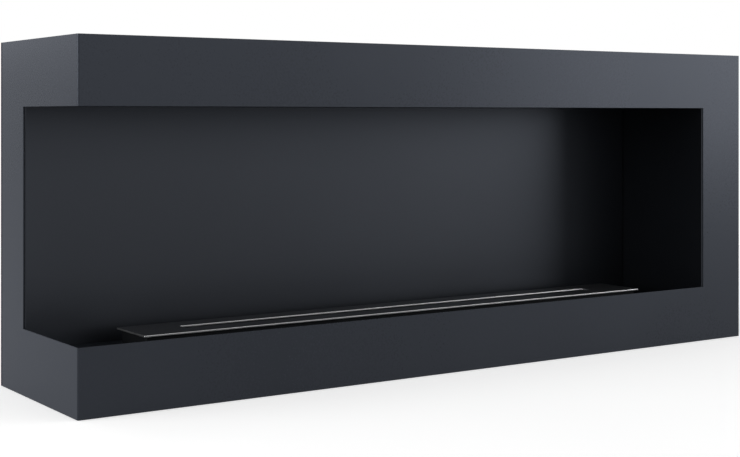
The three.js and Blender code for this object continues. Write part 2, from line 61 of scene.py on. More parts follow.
CASING_LOW, CASING_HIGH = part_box("front_fascia")
BACK_LOW, BACK_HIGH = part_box("firebox_back")
WALL_LOW, WALL_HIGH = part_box("firebox_right_wall")
CEILING_LOW, CEILING_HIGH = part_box("firebox_ceiling")
FLOOR_LOW, FLOOR_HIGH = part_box("hearth_floor")
PLATE_LOW, PLATE_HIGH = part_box("burner_top_plate")
TANK_LOW, TANK_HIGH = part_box("burner_tank")
REAR_LOW, REAR_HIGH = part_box("rear_panel")
HANGER_LOW, HANGER_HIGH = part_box("hanger_plate_left")
PLATE_MIDDLE = 0.5 * (PLATE_LOW + PLATE_HIGH)
FINISHES = {}

X, Y, Z = range(3)
FACING = 0.9  # share of a normal along the axis that its face looks along
SAME_PLACE = 0.00002  # distance under which two places count as one
SKIN = 0.00001  # play that keeps a test or a bevel off its limit
SMOOTH_ANGLE = math.radians(50)
MATTED_ANGLE = math.radians(60)

SCREW_PLAY = 0.0003
SCREW_SINK = 0.0002  # depth of the screw heads under the rear panel's face
SCREW_TIP = 0.6  # width of a screw's tip as a share of its shank
SOCKET_RADIUS = 0.00144
SOCKET_DEPTH = 0.001
SCREW_EDGE = 0.00012
SCREW_SIDES = 28
DRILL_SIDES = 20
DRILL_LENGTH = 0.01
PLATE_CORNER = 0.004  # corners of the hanger plates and of their windows
PLATE_EDGE = 0.0004
THROUGH = 0.01  # reach of a cutter to each side of the plate that it cuts

CAMERA_PLACE = (-1.06761, -1.49256, 0.31629)
CAMERA_YAW = math.radians(-34.074)
CAMERA_LENS = 68.786
CAMERA_SHIFT = -0.1542

# Name, setting with its power, place, target, width and height of each softbox.
SOFTBOXES = (
    ("right_softbox", "right_box", (3.9, -2.6, 1.0), (0.0, 0.0, 0.25), 3.0, 1.8),
    ("front_softbox", "front_box", (0.8, -3.6, 1.2), (0.0, 0.0, 0.3), 3.0, 1.8),
    ("left_softbox", "left_box", (-3.65, 0.1, 0.85), (-0.5, 0.0, 0.3), 4.2, 1.0),
    ("rear_softbox", "rear_box", (-1.7, 2.9, 1.3), (-0.5, 0.0, 0.3), 1.8, 1.6),
    ("top_softbox", "top_box", (-0.3, -0.4, 2.9), (0.0, 0.0, 0.2), 2.5, 2.5),
)


# ---- Sizes and colours ---------------------------------------------------------------------


def length(name, default, description):
    return FloatProperty(
        name=name, description=description, default=default, min=0.0, unit="LENGTH", precision=5
    )


def colour(name, default, description):
    return FloatVectorProperty(
        name=name,
        description=description,
        default=default,
        size=3,
        min=0.0,
        max=1.0,
        subtype="COLOR",
    )


def share(name, default, description):
    return FloatProperty(
        name=name, description=description, default=default, min=0.0, max=1.0, subtype="FACTOR"
    )


def power(name, default, description):
    return FloatProperty(name=name, description=description, default=default, min=0.0)


class CasingSizes(bpy.types.PropertyGroup):
    """Sizes of the casing sheets."""

    sheet: length("Sheet", 0.0015, "Thickness of the casing sheets")
    fold: length("Fold", 0.0023, "Outside radius of a fold in the casing")
    flange: length("Flange", 0.018, "Width of the casing's inner flanges")
    lip: length("Lip", 0.075, "Height of the opening's lower edge over the ground")
    lintel: length("Lintel", 0.325, "Height of the opening's upper edge over the ground")
    opening_right: length("Opening Right", 0.427, "Where the opening ends towards the right post")
    opening_rear: length("Opening Rear", 0.043, "Where the opening ends towards the rear post")
    seat: length("Seat", 0.0003, "Gap between two sheets that touch")
    edge: length("Edge", 0.0003, "Width of the softened cut edges")


class RearSizes(bpy.types.PropertyGroup):
    """Sizes of the rear panel, its vents, hangers and screws."""

    vent_length: length("Vent Length", 0.056, "Length of one vent slot")
    vent_height: length("Vent Height", 0.006, "Height of one vent slot")
    vent_pitch: length("Vent Pitch", 0.084, "Distance from one vent slot to the next")
    vent_drop: length("Vent Drop", 0.038, "Distance of the vent rows from the panel's edges")
    vents: IntProperty(name="Vents", description="Vent slots in a row", default=10, min=1)
    window_border: length("Window Border", 0.013, "Hanger plate that the panel covers")
    key_radius: length("Key Radius", 0.007, "Radius of the keyhole's round part")
    key_slot: length("Key Slot", 0.007, "Width of the keyhole's slot")
    key_rise: length("Key Rise", 0.020, "Height of the slot's end over the keyhole's middle")
    screw_head: length("Screw Head", 0.0038, "Radius of a screw head")
    screw_shank: length("Screw Shank", 0.002, "Radius of a screw shank")
    screw_cone: length("Screw Cone", 0.0014, "Depth of a screw's countersunk head")


class LiningSizes(bpy.types.PropertyGroup):
    """Sizes of the firebox lining."""

    sheet: length("Sheet", 0.0012, "Thickness of the lining sheets")
    fold: length("Fold", 0.002, "Outside radius of a fold in the lining")
    cutout_play: length("Cut-out Play", 0.0015, "Gap round the burner tank in the hearth floor")
    cutout_corner: length("Cut-out Corner", 0.0045, "Corner radius of the burner's cut-out")


class BurnerSizes(bpy.types.PropertyGroup):
    """Sizes of the burner."""

    sheet: length("Sheet", 0.0015, "Thickness of the tank's sheet")
    corner: length("Corner", 0.003, "Corner radius of the tank")
    slot_length: length("Slot Length", 0.620, "Length of the flame slot")
    slot_width: length("Slot Width", 0.016, "Width of the flame slot")
    slot_corner: length("Slot Corner", 0.0015, "Corner radius of the flame slot and the plate")
    edge: length("Edge", 0.0003, "Width of the plate's deburred edges")


class FinishColours(bpy.types.PropertyGroup):
    """Colours of the finishes."""

    casing: colour("Casing", (0.0277, 0.0308, 0.0376), "Satin graphite powder coat")
    casing_edge: colour("Casing Edge", (0.36, 0.40, 0.49), "The coat's gloss at a grazing angle")
    lining: colour("Lining", (0.0218, 0.0239, 0.0285), "Heat resistant coat of the firebox")
    burner: colour("Burner", (0.0105, 0.011, 0.0122), "Heat resistant coat of the burner plate")
    tank: colour("Tank", (0.003, 0.0032, 0.0037), "Matt black coat of the burner tank")
    cut_edge: colour("Cut Edge", (0.48, 0.483, 0.49), "Bare steel of the burner plate's edges")
    stainless: colour("Stainless", (0.56, 0.565, 0.575), "Rolled stainless steel")
    heated: colour("Heated", (0.075, 0.074, 0.076), "Stainless steel darkened by the flames")
    zinc: colour("Zinc", (0.46, 0.48, 0.50), "Zinc plated steel")
    board: colour("Board", (0.50, 0.44, 0.33), "Pressed mineral fibre board")
    board_binder: colour("Board Binder", (0.40, 0.34, 0.24), "Binder in the mineral fibre board")
    fibre: colour("Fibre", (0.80, 0.78, 0.72), "Ceramic fibre")
    fibre_binder: colour("Fibre Binder", (0.86, 0.85, 0.82), "Binder in the ceramic fibre")
    casing_roughness: share("Casing Roughness", 0.28, "Roughness of the casing's coat")
    lining_roughness: share("Lining Roughness", 0.37, "Roughness of the lining's coat")


class StageSettings(bpy.types.PropertyGroup):
    """The floor, the light from all round and the lamps."""

    floor: colour("Floor", (0.88, 0.88, 0.88), "The studio floor")
    clear: length("Clear", 0.75, "Where the floor begins to fade")
    radius: length("Radius", 2.2, "Where the floor has faded into the background")
    glow: share("Glow", 0.46, "Light that the floor adds, so that it is white but for its shadow")
    room: share("Room", 0.31, "Diffuse light that comes from all round")
    right_box: power("Right Softbox", 98.0, "Power of the softbox at the right")
    front_box: power("Front Softbox", 21.0, "Power of the softbox behind the camera")
    left_box: power("Left Softbox", 100.0, "Power of the softbox at the left")
    rear_box: power("Rear Softbox", 10.0, "Power of the softbox behind the left end")
    top_box: power("Top Softbox", 10.0, "Power of the softbox overhead")


# ---- Modelling by hand ---------------------------------------------------------------------


def take(*pieces):
    """Select only these pieces, the first one active."""
    bpy.ops.object.select_all(action="DESELECT")
    for piece in pieces:
        piece.select_set(True)
    bpy.context.view_layer.objects.active = pieces[0]


def name_piece(name):
    piece = bpy.context.object
    piece.name = name
    piece.data.name = name
    bpy.ops.object.transform_apply(location=True, rotation=True, scale=True)
    return piece


def add_block(name, low, high):
    low, high = Vector(low), Vector(high)
    bpy.ops.object.select_all(action="DESELECT")
    bpy.ops.mesh.primitive_cube_add(size=1.0, location=(low + high) / 2, scale=high - low)
    return name_piece(name)


def add_bar(name, radius, centre, depth, sides):
    """A round bar along Y."""
    turn = (math.pi / 2, 0, 0)
    bpy.ops.object.select_all(action="DESELECT")
    bpy.ops.mesh.primitive_cylinder_add(
        vertices=sides, radius=radius, depth=depth, location=centre, rotation=turn
    )
    return name_piece(name)


def edit(piece):
    take(piece)
    bpy.ops.object.mode_set(mode="EDIT")
    bpy.ops.mesh.select_all(action="DESELECT")


def done():
    bpy.ops.object.mode_set(mode="OBJECT")


def pick(kind, wanted):
    """Select the faces, edges or vertices of the piece in hand that pass the test."""
    bpy.ops.mesh.select_mode(type={"faces": "FACE", "edges": "EDGE", "verts": "VERT"}[kind])
    bpy.ops.mesh.select_all(action="DESELECT")
    shell = bmesh.from_edit_mesh(bpy.context.object.data)
    count = 0
    for part in getattr(shell, kind):
        if wanted(part):
            part.select_set(True)
            count += 1
    shell.select_flush_mode()
    bmesh.update_edit_mesh(bpy.context.object.data)
    if count == 0:
        raise RuntimeError(f"{bpy.context.object.name}: nothing was picked")


def middle(edge):
    return (edge.verts[0].co + edge.verts[1].co) / 2


def runs_along(edge, axis):
    parallel = 0.999
    step = (edge.verts[1].co - edge.verts[0].co).normalized()
    return abs(step[axis]) > parallel


def near(value, target):
    return abs(value - target) < SAME_PLACE


def split_at(axis, place):
    """Bisect the whole piece in hand by a plane square to an axis."""
    bpy.ops.mesh.select_all(action="SELECT")
    normal = [0.0, 0.0, 0.0]
    normal[axis] = 1.0
    point = [0.0, 0.0, 0.0]
    point[axis] = place
    bpy.ops.mesh.bisect(plane_co=point, plane_no=normal)


def fold_edges(wanted, radius, steps=8):
    """Round the picked edges of the shell as a press brake does."""
    pick("edges", wanted)
    bpy.ops.mesh.bevel(offset=radius, offset_type="OFFSET", segments=steps, profile=0.5)


def drop_faces(wanted):
    pick("faces", wanted)
    bpy.ops.mesh.delete(type="FACE")


def apply_modifier(piece, kind, **settings):
    take(piece)
    modifier = piece.modifiers.new(kind.title(), kind)
    for key, value in settings.items():
        setattr(modifier, key, value)
    bpy.ops.object.modifier_apply(modifier=modifier.name)


def give_thickness(piece, sheet):
    apply_modifier(
        piece,
        "SOLIDIFY",
        thickness=sheet,
        offset=-1.0,
        use_even_offset=True,
        use_quality_normals=True,
    )


def cut_with(piece, cutters):
    """Cut holes with a set of cutters, which are used up."""
    take(*cutters)
    if len(cutters) > 1:
        bpy.ops.object.join()
    cutter = bpy.context.object
    apply_modifier(piece, "BOOLEAN", operation="DIFFERENCE", object=cutter, solver="EXACT")
    bpy.data.objects.remove(cutter)


def soften_edges(piece, width, angle=50.0):
    """Break the sharp cut edges and shade the piece, its flat faces staying flat."""
    apply_modifier(
        piece,
        "BEVEL",
        width=width,
        segments=2,
        limit_method="ANGLE",
        angle_limit=math.radians(angle),
        use_clamp_overlap=True,
        harden_normals=False,
    )
    take(piece)
    bpy.ops.object.shade_smooth_by_angle(angle=SMOOTH_ANGLE)
    apply_modifier(piece, "WEIGHTED_NORMAL", mode="FACE_AREA", weight=100, keep_sharp=True)


def hand_over(piece, body, slot, material, *nodes):
    """Give the finished piece its coat and its body, and hide the nodes that it stands for."""
    piece.data.materials.clear()
    piece.data.materials.append(material)
    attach(piece, body)
    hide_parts(*nodes)


# ---- Finishes ------------------------------------------------------------------------------


class Shader:
    """A material's node tree, with short calls for the nodes that these finishes use."""

    def __init__(self, name):
        self.material = bpy.data.materials.new(name)
        self.material.use_nodes = True
        self.tree = self.material.node_tree
        self.tree.nodes.clear()
        self.surface = self.add("ShaderNodeBsdfPrincipled")
        self.output = self.add("ShaderNodeOutputMaterial")
        self.link(self.surface.outputs["BSDF"], self.output.inputs["Surface"])
        self.place = self.add("ShaderNodeTexCoord")

    def add(self, kind, **settings):
        node = self.tree.nodes.new(kind)
        for key, value in settings.items():
            setattr(node, key, value)
        return node

    def link(self, start, end):
        self.tree.links.new(start, end)

    def fill(self, socket, value):
        if isinstance(value, bpy.types.NodeSocket):
            self.link(value, socket)
        else:
            socket.default_value = value

    def coordinates(self, scale=(1.0, 1.0, 1.0), turn=(0.0, 0.0, 0.0)):
        """The object's own metres, turned and stretched."""
        mapping = self.add("ShaderNodeMapping")
        mapping.inputs["Scale"].default_value = scale
        mapping.inputs["Rotation"].default_value = turn
        self.link(self.place.outputs["Object"], mapping.inputs["Vector"])
        return mapping.outputs["Vector"]

    def noise(self, vector, scale, detail, roughness=0.5):
        node = self.add("ShaderNodeTexNoise")
        self.fill(node.inputs["Vector"], vector)
        node.inputs["Scale"].default_value = scale
        node.inputs["Detail"].default_value = detail
        node.inputs["Roughness"].default_value = roughness
        return node.outputs["Fac"]

    def cells(self, vector, scale):
        """Two random greys for each cell of a crystal pattern."""
        node = self.add("ShaderNodeTexVoronoi")
        self.fill(node.inputs["Vector"], vector)
        node.inputs["Scale"].default_value = scale
        split = self.add("ShaderNodeSeparateColor")
        self.link(node.outputs["Color"], split.inputs["Color"])
        return split.outputs[0], split.outputs[1]

    def range(self, value, low, high, to_low, to_high):
        node = self.add("ShaderNodeMapRange")
        self.fill(node.inputs["Value"], value)
        for key, number in (
            ("From Min", low),
            ("From Max", high),
            ("To Min", to_low),
            ("To Max", to_high),
        ):
            node.inputs[key].default_value = number
        return node.outputs["Result"]

    def spread(self, cloud, to_low, to_high):
        """A noise's usual span, spread over a range of values."""
        return self.range(cloud, 0.3, 0.7, to_low, to_high)

    def math(self, kind, first, second=0.0):
        node = self.add("ShaderNodeMath", operation=kind)
        self.fill(node.inputs[0], first)
        self.fill(node.inputs[1], second)
        return node.outputs["Value"]

    def mix(self, share_of_second, first, second):
        node = self.add("ShaderNodeMix", data_type="RGBA")
        self.fill(node.inputs[0], share_of_second)
        self.fill(node.inputs[6], first)
        self.fill(node.inputs[7], second)
        return node.outputs[2]

    def shade(self, colour_value, amount):
        """The colour made darker or lighter by a grey amount round 1."""
        node = self.add("ShaderNodeVectorMath", operation="SCALE")
        node.inputs[0].default_value = colour_value
        self.fill(node.inputs["Scale"], amount)
        return node.outputs["Vector"]

    def bump(self, height, distance, under=None):
        node = self.add("ShaderNodeBump")
        node.inputs["Strength"].default_value = 1.0
        node.inputs["Distance"].default_value = distance
        self.fill(node.inputs["Height"], height)
        if under is not None:
            self.link(under, node.inputs["Normal"])
        return node.outputs["Normal"]

    def set(self, **values):
        for key, value in values.items():
            self.fill(self.surface.inputs[key.replace("_", " ")], value)


def rgba(colour_value):
    return tuple(colour_value) + (1.0,)


def powder_coat(name, base, roughness, flake, reflection, grazing, peel):
    """Baked powder with metal flake and an orange peel, its gloss and tone drifting a little."""
    coat = Shader(name)
    place = coat.coordinates()
    cloud = coat.noise(place, scale=5.0, detail=2.0)
    grain = coat.noise(place, scale=420.0, detail=2.0)
    swell = coat.noise(place, scale=70.0, detail=1.0)
    ripple = coat.noise(place, scale=480.0, detail=1.5, roughness=0.45)
    tone = coat.math("ADD", coat.spread(cloud, 0.97, 1.03), coat.spread(grain, -0.03, 0.03))
    drift = coat.spread(cloud, roughness - 0.015, roughness + 0.015)
    relief = coat.bump(swell, distance=0.00002 * peel)
    coat.set(
        Base_Color=coat.shade(base, tone),
        Metallic=flake,
        Roughness=coat.math("ADD", drift, coat.spread(grain, -0.01, 0.01)),
        Normal=coat.bump(ripple, distance=0.000006 * peel, under=relief),
        Specular_IOR_Level=reflection,
        Specular_Tint=rgba(grazing),
    )
    return coat.material


def burner_coat(name, base, bare):
    """Coat on the flat faces, with the plate's cut edges left as bare bright steel."""
    plate = Shader(name)
    place = plate.coordinates()
    facing = plate.add("ShaderNodeSeparateXYZ")
    plate.link(plate.place.outputs["Normal"], facing.inputs["Vector"])
    flat = plate.math("ABSOLUTE", facing.outputs["Z"])
    nick = plate.noise(place, scale=900.0, detail=2.0)
    ragged = plate.math("ADD", flat, plate.spread(nick, -0.03, 0.03))
    bare_below, coated_above = 0.62, 0.72
    is_bare = plate.range(ragged, bare_below, coated_above, 1.0, 0.0)
    grain = plate.noise(place, scale=500.0, detail=2.0)
    cloud = plate.noise(place, scale=9.0, detail=2.0)
    saw = plate.noise(plate.coordinates(scale=(1.0, 1.0, 6.0)), scale=700.0, detail=3.0)
    coated = plate.shade(base, plate.spread(cloud, 0.93, 1.07))
    uncoated = plate.shade(bare, plate.spread(saw, 0.95, 1.05))
    coat_roughness, bare_roughness = 0.39, 0.29
    gloss = plate.range(is_bare, 0.0, 1.0, coat_roughness, bare_roughness)
    plate.set(
        Base_Color=plate.mix(is_bare, coated, uncoated),
        Metallic=is_bare,
        Roughness=plate.math("ADD", gloss, plate.spread(grain, -0.015, 0.015)),
        Normal=plate.bump(grain, distance=0.000002),
        Specular_IOR_Level=0.3,
    )
    return plate.material


def rolled_stainless(name, base):
    """Satin mill finish: short lines along the roll, faint cloudiness."""
    steel = Shader(name)
    along_roll = steel.coordinates(scale=(1.0, 14.0, 14.0))
    lines = steel.noise(along_roll, scale=90.0, detail=4.0, roughness=0.6)
    cloud = steel.noise(steel.coordinates(), scale=14.0, detail=2.0)
    tone = steel.math("MULTIPLY", steel.spread(lines, 0.93, 1.05), steel.spread(cloud, 0.95, 1.04))
    steel.set(
        Base_Color=steel.shade(base, tone),
        Metallic=1.0,
        Roughness=steel.range(lines, 0.25, 0.75, 0.26, 0.40),
        Normal=steel.bump(lines, distance=0.000004),
    )
    return steel.material


def zinc_plate(name, base):
    """Zinc plated sheet: a mottle of small crystals that differ in tone and gloss."""
    zinc = Shader(name)
    place = zinc.coordinates()
    crystal_tone, crystal_gloss = zinc.cells(place, scale=160.0)
    cloud = zinc.noise(place, scale=12.0, detail=3.0)
    dimples = zinc.noise(place, scale=240.0, detail=2.0)
    mottle = zinc.range(crystal_tone, 0.0, 1.0, 0.9, 1.06)
    zinc.set(
        Base_Color=zinc.shade(base, zinc.math("MULTIPLY", mottle, zinc.spread(cloud, 0.92, 1.05))),
        Metallic=0.9,
        Roughness=zinc.range(crystal_gloss, 0.0, 1.0, 0.36, 0.52),
        Normal=zinc.bump(dimples, distance=0.00001),
    )
    return zinc.material


def pressed_fibre(name, base, binder, fineness):
    """Matted fibres: fine strands in three directions over a lumpy ground."""
    mat = Shader(name)
    place = mat.coordinates()
    strands = None
    for turn in ((0.3, 0.2, 0.4), (1.2, 0.9, 2.1), (2.2, 2.6, 1.1)):
        stretched = mat.coordinates(scale=(1.0, 9.0, 9.0), turn=turn)
        strand = mat.noise(stretched, scale=fineness, detail=3.0, roughness=0.6)
        strands = strand if strands is None else mat.math("MAXIMUM", strands, strand)
    lumps = mat.noise(place, scale=60.0, detail=4.0)
    strand_tone = mat.range(strands, 0.45, 0.8, 0.82, 1.06)
    tone = mat.math("MULTIPLY", strand_tone, mat.spread(lumps, 0.9, 1.05))
    bound = mat.range(lumps, 0.55, 0.75, 0.0, 0.5)
    relief = mat.bump(lumps, distance=0.0006)
    mat.set(
        Base_Color=mat.mix(bound, mat.shade(base, tone), rgba(binder)),
        Roughness=mat.range(strands, 0.4, 0.8, 0.98, 0.86),
        Normal=mat.bump(strands, distance=0.00025, under=relief),
        Specular_IOR_Level=0.2,
    )
    return mat.material


def make_finish(kind):
    colours = bpy.context.scene.fireplace_finish
    name = f"{kind}_finish"
    if kind == "casing":
        return powder_coat(
            name,
            colours.casing,
            roughness=colours.casing_roughness,
            flake=0.35,
            reflection=0.145,
            grazing=colours.casing_edge,
            peel=0.4,
        )
    if kind == "lining":
        return powder_coat(
            name,
            colours.lining,
            roughness=colours.lining_roughness,
            flake=0.9,
            reflection=0.2,
            grazing=(0.9, 0.95, 1.0),
            peel=0.5,
        )
    if kind == "tank":
        return powder_coat(
            name,
            colours.tank,
            roughness=0.5,
            flake=0.0,
            reflection=0.07,
            grazing=(0.84, 0.92, 1.0),
            peel=0.8,
        )
    if kind == "burner_plate":
        return burner_coat(name, colours.burner, colours.cut_edge)
    if kind == "stainless":
        return rolled_stainless(name, colours.stainless)
    if kind == "heated":
        return rolled_stainless(name, colours.heated)
    if kind == "zinc":
        return zinc_plate(name, colours.zinc)
    if kind == "board":
        return pressed_fibre(name, colours.board, colours.board_binder, fineness=900.0)
    return pressed_fibre(name, colours.fibre, colours.fibre_binder, fineness=1300.0)


def finish(kind):
    """One of the fireplace's finishes, made once."""
    if kind not in FINISHES:
        FINISHES[kind] = make_finish(kind)
    return FINISHES[kind]


# ---- Sheets --------------------------------------------------------------------------------


def model_fascia(sizes):
    low, high = CASING_LOW, CASING_HIGH
    piece = add_block("front_and_left_frame", low, high)
    edit(piece)
    drop_faces(lambda face: abs(face.normal.z) > FACING or face.normal.x > FACING)
    tip = low.x + sizes.flange
    split_at(X, tip)
    drop_faces(lambda face: face.normal.y > FACING and face.calc_center_median().x > tip)
    fold_edges(
        lambda edge: runs_along(edge, Z) and near(edge.verts[0].co.x, low.x), sizes.fold, steps=10
    )
    split_at(Z, sizes.lip)
    split_at(Z, sizes.lintel)
    split_at(X, sizes.opening_right)
    split_at(Y, sizes.opening_rear)

    def in_opening(face):
        centre = face.calc_center_median()
        inside = sizes.lip < centre.z < sizes.lintel
        return inside and centre.x < sizes.opening_right and centre.y < sizes.opening_rear

    drop_faces(in_opening)
    notch = sizes.flange + sizes.seat
    split_at(Z, notch)
    split_at(Z, high.z - notch)
    in_flange, past_side = 0.7, low.x + 0.0007

    def in_notch(face):
        centre = face.calc_center_median()
        at_end = centre.z < notch or centre.z > high.z - notch
        return at_end and face.normal.y > in_flange and centre.x > past_side

    drop_faces(in_notch)
    done()
    give_thickness(piece, sizes.sheet)
    return piece


def model_channel(name, low, high, kept, folds, radius, sheet):
    """A sheet folded to an upright channel from the sides of a block that are kept."""
    piece = add_block(name, low, high)
    edit(piece)
    drop_faces(lambda face: not kept(face.normal))
    fold_edges(folds, radius)
    done()
    give_thickness(piece, sheet)
    return piece


def model_tray(name, low, high, open_side, radius, sheet):
    """A sheet with four flanges, open at the top (1) or at the bottom (-1)."""
    piece = add_block(name, low, high)
    edit(piece)
    drop_faces(lambda face: face.normal.z * open_side > FACING)
    closed = low.z if open_side > 0 else high.z
    fold_edges(lambda edge: near(middle(edge).z, closed) or runs_along(edge, Z), radius, steps=6)
    done()
    give_thickness(piece, sheet)
    return piece


def screw_sites():
    boxes = [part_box(f"rear_panel_screw_{number:02d}") for number in range(1, 13)]
    return [(low + high) / 2 for low, high in boxes]


def shank_cutters(sizes, level):
    """Bars that drill the screw holes near a plane square to Y."""
    radius = sizes.screw_shank + SCREW_PLAY
    return [
        add_bar("drill", radius, (site.x, level, site.z), DRILL_LENGTH, DRILL_SIDES)
        for site in screw_sites()
    ]


def model_rear_panel(casing, sizes):
    piece = add_block("rear_sheet", REAR_LOW, REAR_HIGH)
    cutters = []
    for row in (sizes.vent_drop, REAR_HIGH.z - sizes.vent_drop):
        for number in range(sizes.vents):
            x = (number - (sizes.vents - 1) / 2) * sizes.vent_pitch
            centre = (x, REAR_LOW.y, row)
            cutters.append(add_slot_cutter(centre, sizes.vent_length, sizes.vent_height))
    for node in ("hanger_plate_left", "hanger_plate_right"):
        cutters.append(add_window_cutter(*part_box(node), sizes.window_border))
    cut_with(piece, cutters)
    head = sizes.screw_head + SCREW_PLAY
    mouth_length, mouth_rise = 0.0022, 0.0009
    holes = []
    for site in screw_sites():
        bpy.ops.object.select_all(action="DESELECT")
        bpy.ops.mesh.primitive_cone_add(
            vertices=SCREW_SIDES,
            radius1=sizes.screw_shank + SCREW_PLAY,
            radius2=head,
            depth=sizes.screw_cone,
            location=(site.x, REAR_HIGH.y - SCREW_SINK - sizes.screw_cone / 2, site.z),
            rotation=(-math.pi / 2, 0, 0),
        )
        holes.append(name_piece("countersink"))
        centre = (site.x, REAR_HIGH.y + mouth_rise, site.z)
        holes.append(add_bar("mouth", head, centre, mouth_length, SCREW_SIDES))
    cut_with(piece, holes)
    cut_with(piece, shank_cutters(sizes, REAR_LOW.y))
    soften_edges(piece, casing.edge)
    return piece


def add_window_cutter(low, high, border):
    """A block with rounded corners that cuts the window in front of a hanger plate."""
    inset = Vector((border, 0, border))
    stretch = 8  # takes the cutter past both faces of the rear panel
    window = add_block("window", low + inset, high - inset)
    edit(window)
    fold_edges(lambda edge: runs_along(edge, Y), PLATE_CORNER)
    done()
    take(window)
    bpy.ops.transform.resize(value=(1, stretch, 1), center_override=((low + high) / 2))
    bpy.ops.object.transform_apply(location=True, rotation=True, scale=True)
    return window


def add_slot_cutter(centre, long_side, short_side):
    """A bar with half-round ends that cuts a slot through a plate square to Y."""
    reach = 0.006
    centre = Vector(centre)
    half = Vector((long_side / 2, reach, short_side / 2))
    cutter = add_block("slot", centre - half, centre + half)
    edit(cutter)
    fold_edges(lambda edge: runs_along(edge, Y), short_side / 2 - SKIN)
    done()
    return cutter


def model_back(casing, sizes):
    piece = model_channel(
        "firebox_rear_wall",
        BACK_LOW,
        BACK_HIGH,
        lambda normal: normal.y < -FACING or abs(normal.x) > FACING,
        lambda edge: runs_along(edge, Z) and near(middle(edge).y, BACK_LOW.y),
        sizes.fold,
        sizes.sheet,
    )
    soften_edges(piece, casing.edge)
    return piece


def model_right_wall(casing, sizes):
    piece = model_channel(
        "firebox_side_wall",
        WALL_LOW,
        WALL_HIGH,
        lambda normal: normal.y < -FACING or normal.x < -FACING,
        lambda edge: runs_along(edge, Z) and near(middle(edge).x, WALL_LOW.x),
        sizes.fold,
        sizes.sheet,
    )
    soften_edges(piece, casing.edge)
    return piece


def model_right_side(casing, rear):
    low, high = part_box("right_side_panel")
    piece = model_channel(
        "right_side_sheet",
        low,
        high,
        lambda normal: abs(normal.y) > FACING or normal.x > FACING,
        lambda edge: runs_along(edge, Z) and near(middle(edge).x, high.x),
        casing.fold,
        casing.sheet,
    )
    notch = casing.flange + casing.seat
    reach = 0.05
    cutters = []
    for base in (low.z - reach, high.z - notch):
        corner = Vector((low.x - reach, low.y - reach, base))
        far = Vector((high.x - casing.sheet, high.y + reach, base + notch + reach))
        cutters.append(add_block("notch", corner, far))
    cut_with(piece, cutters)
    cut_with(piece, shank_cutters(rear, high.y - casing.sheet / 2))
    soften_edges(piece, casing.edge)
    return piece


def model_hearth_floor(casing, sizes):
    piece = model_tray("hearth_sheet", FLOOR_LOW, FLOOR_HIGH, -1, sizes.fold, sizes.sheet)
    play = Vector((sizes.cutout_play, sizes.cutout_play, 0))
    low = TANK_LOW - play
    high = TANK_HIGH + play
    cutter = add_block("burner_cutout", (low.x, low.y, FLOOR_LOW.z), (high.x, high.y, high.z))
    edit(cutter)
    fold_edges(lambda edge: runs_along(edge, Z), sizes.cutout_corner)
    done()
    cut_with(piece, [cutter])
    soften_edges(piece, casing.edge)
    return piece


def model_tank(sizes):
    piece = add_block("burner_trough", TANK_LOW, TANK_HIGH)
    edit(piece)
    drop_faces(lambda face: face.normal.z > FACING)
    fold_edges(
        lambda edge: near(middle(edge).z, TANK_LOW.z) or runs_along(edge, Z), sizes.corner, steps=6
    )
    done()
    give_thickness(piece, sizes.sheet)
    soften_edges(piece, sizes.edge)
    return piece


def model_lid(sizes):
    """The burner plate, with its slot cut by laser and its edges deburred."""
    piece = add_block("burner_lid", PLATE_LOW, PLATE_HIGH)
    edit(piece)
    fold_edges(lambda edge: runs_along(edge, Z), sizes.slot_corner, steps=6)
    done()
    half = Vector((sizes.slot_length / 2, sizes.slot_width / 2, THROUGH))
    slot = add_block("flame_slot", PLATE_MIDDLE - half, PLATE_MIDDLE + half)
    edit(slot)
    fold_edges(lambda edge: runs_along(edge, Z), sizes.slot_corner, steps=6)
    done()
    cut_with(piece, [slot])
    soften_edges(piece, sizes.edge)
    return piece


def model_shutter(sizes):
    low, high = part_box("burner_shutter")
    piece = add_block("slot_shutter", low, high)
    edit(piece)
    fold_edges(lambda edge: runs_along(edge, Z), sizes.slot_corner, steps=6)
    done()
    finer = 0.8
    soften_edges(piece, sizes.edge * finer)
    return piece


def model_hanger(sizes):
    """The left hanger: a plate with a keyhole, its round part low and its slot high."""
    piece = add_block("hanger", HANGER_LOW, HANGER_HIGH)
    edit(piece)
    fold_edges(lambda edge: runs_along(edge, Y), PLATE_CORNER)
    done()
    centre = (HANGER_LOW + HANGER_HIGH) / 2
    rise = Vector((0, 0, sizes.key_rise))
    half = sizes.key_slot / 2
    cutters = [
        add_bar("key_round", sizes.key_radius, centre, 2 * THROUGH, sides=48),
        add_bar("key_end", half, centre + rise, 2 * THROUGH, sides=32),
        add_block(
            "key_slot",
            (centre.x - half, centre.y - THROUGH, centre.z),
            (centre.x + half, centre.y + THROUGH, centre.z + sizes.key_rise),
        ),
    ]
    for cutter in cutters:
        cut_with(piece, [cutter])
    soften_edges(piece, PLATE_EDGE)
    return piece


def model_screw(sizes, site):
    """A countersunk screw with a hexagon socket, its head to the rear."""
    low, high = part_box("rear_panel_screw_01")
    centre = (site.x, (low.y + high.y) / 2, site.z)
    piece = add_bar("screw", sizes.screw_shank, centre, high.y - low.y, SCREW_SIDES)
    edit(piece)
    split_at(Y, high.y - sizes.screw_cone)
    pick("verts", lambda vert: vert.co.y > high.y - SKIN)
    factor = sizes.screw_head / sizes.screw_shank
    bpy.ops.transform.resize(value=(factor, 1, factor), center_override=(site.x, high.y, site.z))
    pick("verts", lambda vert: vert.co.y < low.y + SKIN)
    bpy.ops.transform.resize(
        value=(SCREW_TIP, 1, SCREW_TIP), center_override=(site.x, low.y, site.z)
    )
    done()
    centre = (site.x, high.y, site.z)
    cut_with(piece, [add_bar("socket", SOCKET_RADIUS, centre, 2 * SOCKET_DEPTH, sides=6)])
    soften_edges(piece, SCREW_EDGE, angle=30.0)
    return piece


